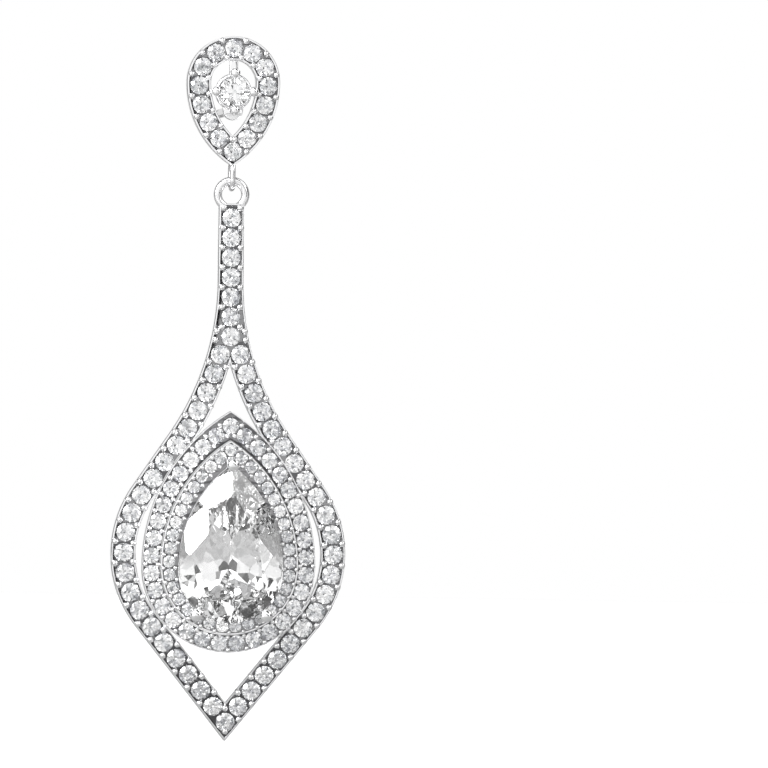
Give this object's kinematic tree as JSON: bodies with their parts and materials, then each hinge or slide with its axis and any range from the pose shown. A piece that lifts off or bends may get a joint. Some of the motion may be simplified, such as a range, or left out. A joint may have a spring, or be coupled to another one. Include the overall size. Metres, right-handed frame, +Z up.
{
  "type": "teardrop drop earring",
  "caption": "Stud-back drop earring: pave teardrop stud with a solitaire, linked ring and long open drop with two halos round a pear-cut stone.",
  "frame": {"origin": "where the ear post leaves the stud's flat back, on the post's axis", "axes": "+Z up along the earring, +Y back along the ear post, the stones face -Y, +X to the right as seen from the front"},
  "size_m": [0.0198, 0.0187, 0.0598],
  "materials": {
    "rhodium_plate": "bright polished rhodium plate over brass",
    "pave_rhodium": "polished rhodium plate set all over with small clear stones and shared bead prongs",
    "clear_zirconia": "clear faceted cubic zirconia"
  },
  "bodies": {
    "stud": {"stud_frame": "pave_rhodium", "solitaire_basket": "rhodium_plate", "solitaire_stone": "clear_zirconia", "ear_post": "rhodium_plate"},
    "drop": {"drop_frame": "pave_rhodium", "middle_halo": "pave_rhodium", "inner_halo": "pave_rhodium", "pear_basket": "rhodium_plate", "pear_stone": "clear_zirconia"}
  },
  "joints": [
    {"name": "drop_swing", "type": "hinge", "parent": "stud", "child": "drop", "pos_m": [0, -0.00075, -0.00664], "axis": [0, 1, 0], "range_deg": [-90, 90]}
  ]
}
